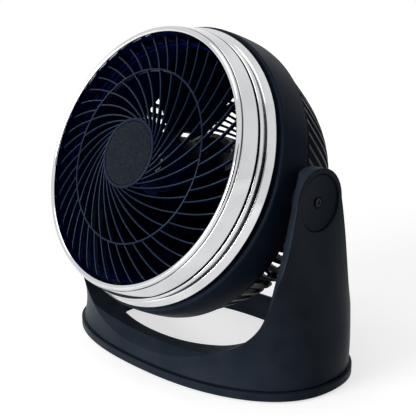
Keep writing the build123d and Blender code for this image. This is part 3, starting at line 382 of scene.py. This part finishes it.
def brightRing():
    nose, back, mouth, out, edge = (ring[key] for key in ("front", "back", "mouth", "nose", "flange"))
    coneBack, bead, flange = (back + ring[key] for key in ("coneRise", "beadRise", "flangeRise"))
    leg, lip = mouth + ring["legOut"], nose - ring["lip"]
    inside = leg + ring["legWall"]
    corners = [  # (radius, station, easing): leg, mouth, nose, cone, bead, flange, then back inside
        (leg, back, 0), (leg, lip, 0.1), (mouth, lip, 0.1), (mouth, nose - 0.9, 0.8),
        (mouth + 1.5, nose, 0.8), (out - 1.4, nose, 1.0), (out - 0.1, nose - 1.8, 0.7),
        (out - 0.6, nose - 2.5, 0.1), (out - 0.5, nose - 2.9, 0.1), (out + 0.3, nose - 3.1, 0.2),
        (out + 3.6, coneBack, 0.4), (out + 2.0, coneBack - 0.3, 0.2), (out + 2.0, coneBack - 1.9, 0.2),
        (out + 4.1, coneBack - 2.2, 0.4), (out + 5.1, bead + 0.3, 0.8), (out + 4.5, bead - 1.2, 0.5),
        (out + 2.2, bead - 1.5, 0.3), (out + 2.2, flange + 0.5, 0.3), (out + 5.2, flange, 0.5),
        (edge - 0.4, back + 1.6, 0.5), (edge, back + 1.0, 0.3), (edge, back, 0.2), (edge - 2.2, back, 0.2),
        (out + 1.2, flange - 0.6, 0), (out + 0.6, coneBack - 1.0, 0), (out - 2.2, nose - 5, 0),
        (inside, nose - 6, 0), (inside, back, 0)]
    bm = bmesh.new()
    latheInto(bm, softCorners(corners, ring["easeParts"]), ring["steps"])
    grooveBack, grooveFront = (nose - depth for depth in ring["noseGroove"])
    for face in bm.faces:  # painted shade: the grooves behind the nose and on both sides of the bead get the darker groove chrome
        middle = face.calc_center_median()
        reach = middle.xy.length
        besideBead = flange + ring["margin"] < middle.z < coneBack - ring["margin"]
        behindNose = grooveBack < middle.z < grooveFront and out - ring["grooveIn"] < reach < out
        if behindNose or (besideBead and reach < out + ring["grooveOut"]):
            face.material_index = 1
    piece = fanPiece("bright_ring", bm, "chrome_bezel", brightChrome, ring["sharpest"])
    piece.data.materials.append(grooveShadeChrome)


brightRing()
print("bright ring made")

# front grille: swirled ribs, mid ring, hub ring, the web behind the disc and the dark wall behind the nose
grille = {"firstRib": 18.4, "innerRibs": 30, "outerRibs": 45,
          "ribWidth": 1.15, "ribDepth": 3.2, "crown": 0.55,
          "hubSweep": 61.0, "midSweep": 34.0, "rimSweep": 14.5, "innerBend": 2.4, "outerBend": 0.52,
          "innerParts": 28, "outerParts": 26, "rim": 95.5, "rimBite": 0.2,
          "hubRing": 26.4, "hubRingWidth": 2.0, "hubBack": 64.2, "hubFront": 70.2, "hubSteps": 128,
          "webFront": 66.1, "webGap": 0.5, "webSteps": 96,
          "midRing": 65.9, "midRingWidth": 1.3, "midSteps": 256,
          "midBack": (59.4, 59.3), "midFront": (62.7, 62.6),  # on its inside and its outside
          "wallDepth": 2.8, "wallOut": 1.05, "wallBite": 1.0,
          "wallFront": 58.8, "wallStep": 47, "wallBack": 44,
          "front": ((24.4, 69.6), (65.9, 62.4), (90.5, 59.1), (93.2, 58.2), (95.0, 56.4), (95.7, 54.8))}


def frontRibs():
    bm = bmesh.new()
    hub, mid, rim, wide = (grille[key] for key in ("hubRing", "midRing", "rim", "hubRingWidth"))
    hubMid, first = hub - wide / 2, grille["firstRib"]
    start = first - grille["hubSweep"]
    inner = arcThrough((hubMid, start), ((hubMid + mid) / grille["innerBend"], start + grille["midSweep"]),
                       (mid, first), grille["innerParts"])
    outer = arcThrough((mid, first), ((mid + rim) / 2, first + grille["rimSweep"] * grille["outerBend"]),
                       (rim + grille["rimBite"], first + grille["rimSweep"]), grille["outerParts"])
    for count, plan in ((grille["innerRibs"], inner), (grille["outerRibs"], outer)):
        path = []
        for spot in plan:  # over the wall a rib reaches down into it
            top = between(grille["front"], spot.length)
            overWall = spot.length > rim - grille["wallDepth"]
            path.append((spot.x, spot.y, top,
                         grille["wallBack"] + grille["wallBite"] if overWall else top - grille["ribDepth"]))
        for i in range(count):
            turn = Matrix.Rotation(2 * pi * i / count, 2)
            turned = [(*(turn @ Vector(p[:2])), p[2], p[3]) for p in path]
            finInto(bm, turned, grille["ribWidth"], grille["crown"])
    back, front = grille["hubBack"], grille["hubFront"]
    latheInto(bm, softCorners([(hub - wide, back, 0), (hub - wide, front, 0.35), (hub, front, 0.5),
                               (hub, back, 0)]), grille["hubSteps"])
    thin = grille["midRingWidth"] / 2
    (backIn, backOut), (frontIn, frontOut) = grille["midBack"], grille["midFront"]
    latheInto(bm, softCorners([(mid - thin, backIn, 0), (mid - thin, frontIn, 0.5),
                               (mid + thin, frontOut, 0.5), (mid + thin, backOut, 0)]), grille["midSteps"])
    shiny = len(bm.faces)  # the faces after these are dull
    wall, wallBack, step = ring["mouth"], grille["wallBack"], grille["wallStep"]
    wallOut, wallIn, wallFront = wall + grille["wallOut"], wall - grille["wallDepth"], grille["wallFront"]
    latheInto(bm, [(wallOut, wallBack), (wallOut, wallFront), (wall, wallFront),
                   (wall, step), (wallIn, step), (wallIn, wallBack)])
    web, webFront = hub - grille["webGap"], grille["webFront"]
    latheInto(bm, [(0, back), (web, back), (web, webFront), (0, webFront)], grille["webSteps"])
    for face in list(bm.faces)[shiny:]:
        face.material_index = 1
    piece = fanPiece("front_ribs", bm, "front_grille", grilleBlack)
    piece.data.materials.append(wallBlack)


frontRibs()
print("front ribs made")

# textured disc in the middle, slightly crowned
disc = {"radius": 24.2, "front": 70.2, "back": 66.2, "crown": 0.9, "flatShare": 0.97, "edgeDrop": 0.5,
        "easing": 0.3, "crownParts": 10, "steps": 192}


def texturedDisc():
    bm = bmesh.new()
    edge, front, parts = disc["radius"], disc["front"], disc["crownParts"]
    flat = edge * disc["flatShare"]
    profile = [(0, disc["back"], 0), (edge, disc["back"], 0),
               (edge, front - disc["edgeDrop"], disc["easing"]), (flat, front, disc["easing"])]
    for i in range(1, parts + 1):
        share = 1 - i / parts
        profile.append((flat * share, front + disc["crown"] * (1 - share ** 2), 0))
    latheInto(bm, softCorners(profile), disc["steps"])
    fanPiece("textured_disc", bm, "hub_disc", discTexture)


texturedDisc()
print("textured disc made")

# impeller: a hub cup and three broad swept blades; chord in millimetres and pitch in degrees go by radius
airscrew = {"blades": 3, "firstBlade": 90.0, "root": 23.5, "tip": 91.5, "middle": 22.0, "camber": 0.09,
            "chord": ((25.0, 46.0), (50.0, 104.0), (87.5, 150.0)),
            "pitch": ((25.0, 50.0), (50.0, 24.0), (87.5, 15.0)),
            "thickness": 2.2, "roundFrom": 80.0, "tipRound": 0.08, "rows": 16, "columns": 40,
            "hub": 25.0, "hubFront": 38.0, "hubBack": 6.0, "hubWall": 2.4, "boss": 8.0, "bossRise": 6,
            "hubSteps": 96, "sharpest": 40}


def bladeInto(bm, middle):  # one blade as a sheet of faces round the bearing middle
    root, tip, roundFrom, columns = (airscrew[key] for key in ("root", "tip", "roundFrom", "columns"))
    grid = []
    for i in range(airscrew["rows"] + 1):
        r = root + (tip - root) * i / airscrew["rows"]
        chord, pitch = between(airscrew["chord"], r), radians(between(airscrew["pitch"], r))
        beyond = max(r - roundFrom, 0) / (tip - roundFrom)
        half = chord * cos(pitch) / (2 * r) * (1 - airscrew["tipRound"] * beyond ** 2)
        row = []
        for k in range(columns + 1):
            u = 2 * k / columns - 1
            rise = airscrew["camber"] * chord * (1 - u * u) - u * chord * sin(pitch) / 2
            bearing = middle + u * half
            row.append(bm.verts.new((r * cos(bearing), r * sin(bearing), airscrew["middle"] + rise)))
        grid.append(row)
    for first, second in zip(grid, grid[1:]):
        for k in range(columns):
            bm.faces.new((first[k], first[k + 1], second[k + 1], second[k]))


def sweptBlades():
    bm = bmesh.new()
    for blade in range(airscrew["blades"]):
        bladeInto(bm, radians(airscrew["firstBlade"] + 360 * blade / airscrew["blades"]))
    bmesh.ops.solidify(bm, geom=bm.faces[:], thickness=airscrew["thickness"])
    out, back, front = (airscrew[key] for key in ("hub", "hubBack", "hubFront"))
    wall, boss, bossBack = airscrew["hubWall"], airscrew["boss"], back + airscrew["bossRise"]
    latheInto(bm, softCorners([
        (0, bossBack, 0), (boss, bossBack, 0.5), (boss, front - wall, 0.5), (out - wall, front - wall, 1.0),
        (out - wall, back, 0.3), (out, back, 0.4), (out, front, 1.6), (0, front, 0)]), airscrew["hubSteps"])
    fanPiece("swept_blades", bm, "impeller", bladeBlack, airscrew["sharpest"], "rotor")


sweptBlades()
print("blades made")

# floor, light and camera
studio = {"floorSize": 8.0, "floorColour": (0.50, 0.50, 0.50), "floorRough": 0.9,
          "floorGlow": (0.66, 0.92), "glowReach": (0.35, 1.4), "worldFill": 0.22,
          "lamps": [("topSoft", (-0.1, -0.4, 1.9), (0, 0, 0.12), 1.3, 11.0),  # name, place, aim, size, watts
                    ("frontSoft", (-0.35, -1.9, 0.55), (0, 0, 0.12), 1.2, 46.0)],
          "flags": [("frontFlag", (1.25, -1.45, 0.75), (1.3, 1.5)),  # name, place, width and height
                    ("rearFlag", (0.9, 1.9, 0.35), (1.2, 0.9))],
          "flagAim": (0, 0, 0.15), "flagColour": (0.01, 0.01, 0.01)}


def seenWhite(tree, strengthSocket, elsewhere):  # white for camera, mirror and glass rays, else plainer
    rays = addNode(tree, "ShaderNodeLightPath")
    first = addNode(tree, "ShaderNodeMath", {"operation": "MAXIMUM"})
    second = addNode(tree, "ShaderNodeMath", {"operation": "MAXIMUM"})
    ranged = addNode(tree, "ShaderNodeMapRange", None, {"To Min": elsewhere, "To Max": 1.0})
    tree.links.new(rays.outputs["Is Camera Ray"], first.inputs[0])
    tree.links.new(rays.outputs["Is Glossy Ray"], first.inputs[1])
    tree.links.new(first.outputs["Value"], second.inputs[0])
    tree.links.new(rays.outputs["Is Transmission Ray"], second.inputs[1])
    tree.links.new(second.outputs["Value"], ranged.inputs["Value"])
    tree.links.new(ranged.outputs["Result"], strengthSocket)
    return ranged


def aimed(spot, aim):  # rotation that points an object's -Z from spot to aim
    return (Vector(aim) - Vector(spot)).to_track_quat("-Z", "Y").to_euler()


def makeFloor():
    bm = bmesh.new()
    bmesh.ops.create_grid(bm, x_segments=4, y_segments=4, size=studio["floorSize"] / 2)
    mesh = bpy.data.meshes.new("floor")
    bm.to_mesh(mesh)
    bm.free()
    material = bpy.data.materials.new("paleFloor")
    material.use_nodes = True
    tree = material.node_tree
    shader = tree.nodes["Principled BSDF"]
    shader.inputs["Base Color"].default_value = (*studio["floorColour"], 1)
    shader.inputs["Roughness"].default_value = studio["floorRough"]
    glow = addNode(tree, "ShaderNodeEmission", None, {"Color": (1, 1, 1, 1)})
    both = addNode(tree, "ShaderNodeAddShader")
    seen = seenWhite(tree, glow.inputs["Strength"], 0.0)
    place = addNode(tree, "ShaderNodeTexCoord")
    reach = addNode(tree, "ShaderNodeVectorMath", {"operation": "LENGTH"})
    (near, far), (dim, bright) = studio["glowReach"], studio["floorGlow"]
    brighter = addNode(tree, "ShaderNodeMapRange", {"interpolation_type": "SMOOTHSTEP"},
                       {"From Min": near, "From Max": far, "To Min": dim, "To Max": bright})
    tree.links.new(place.outputs["Object"], reach.inputs[0])
    tree.links.new(reach.outputs["Value"], brighter.inputs["Value"])
    tree.links.new(brighter.outputs["Result"], seen.inputs["To Max"])
    tree.links.new(shader.outputs["BSDF"], both.inputs[0])
    tree.links.new(glow.outputs["Emission"], both.inputs[1])
    tree.links.new(both.outputs["Shader"], tree.nodes["Material Output"].inputs["Surface"])
    mesh.materials.append(material)
    floor = bpy.data.objects.new("floor", mesh)
    bpy.context.scene.collection.objects.link(floor)


def makeLight():
    world = bpy.data.worlds.new("studio")
    bpy.context.scene.world = world
    world.use_nodes = True
    background = world.node_tree.nodes["Background"]
    background.inputs["Color"].default_value = (1, 1, 1, 1)
    seenWhite(world.node_tree, background.inputs["Strength"], studio["worldFill"])
    for name, spot, aim, size, power in studio["lamps"]:
        lamp = bpy.data.lights.new(name, "AREA")
        lamp.shape = "DISK"
        lamp.size = size
        lamp.energy = power
        holder = bpy.data.objects.new(name, lamp)
        holder.location = spot
        holder.rotation_euler = aimed(spot, aim)
        bpy.context.scene.collection.objects.link(holder)


def makeFlags():  # dark cards that only the shiny surfaces see, for the dark lines in the bright ring
    dark = bpy.data.materials.new("darkFlag")
    dark.use_nodes = True
    dark.node_tree.nodes["Principled BSDF"].inputs["Base Color"].default_value = (*studio["flagColour"], 1)
    for name, spot, (wide, high) in studio["flags"]:
        mesh = bpy.data.meshes.new(name)
        mesh.from_pydata([(-wide / 2, -high / 2, 0), (wide / 2, -high / 2, 0), (wide / 2, high / 2, 0),
                          (-wide / 2, high / 2, 0)], [], [(0, 1, 2, 3)])
        mesh.materials.append(dark)
        flag = bpy.data.objects.new(name, mesh)
        flag.location = spot
        flag.rotation_euler = aimed(spot, studio["flagAim"])
        flag.visible_camera = flag.visible_diffuse = flag.visible_shadow = flag.visible_transmission = False
        bpy.context.scene.collection.objects.link(flag)


viewpoint = {"place": (0.48134, -0.45291, 0.28899), "azimuth": 45.8, "elevation": 14.5,
             "lens": 74.27, "sensor": 36}


def makeCamera():
    turn, rise = radians(viewpoint["azimuth"]), radians(viewpoint["elevation"])
    back = Vector((sin(turn) * cos(rise), -cos(turn) * cos(rise), sin(rise)))
    right = Vector((cos(turn), sin(turn), 0))
    up = back.cross(right)
    lens = bpy.data.cameras.new("studioCamera")
    lens.lens = viewpoint["lens"]
    lens.sensor_width = viewpoint["sensor"]
    camera = bpy.data.objects.new("studioCamera", lens)
    facing = Matrix((right, up, back)).transposed().to_4x4()
    camera.matrix_world = Matrix.Translation(viewpoint["place"]) @ facing
    bpy.context.scene.collection.objects.link(camera)
    bpy.context.scene.camera = camera


makeFloor()
makeLight()
makeFlags()
makeCamera()
bpy.context.scene.view_settings.view_transform = "Standard"
print("studio made")
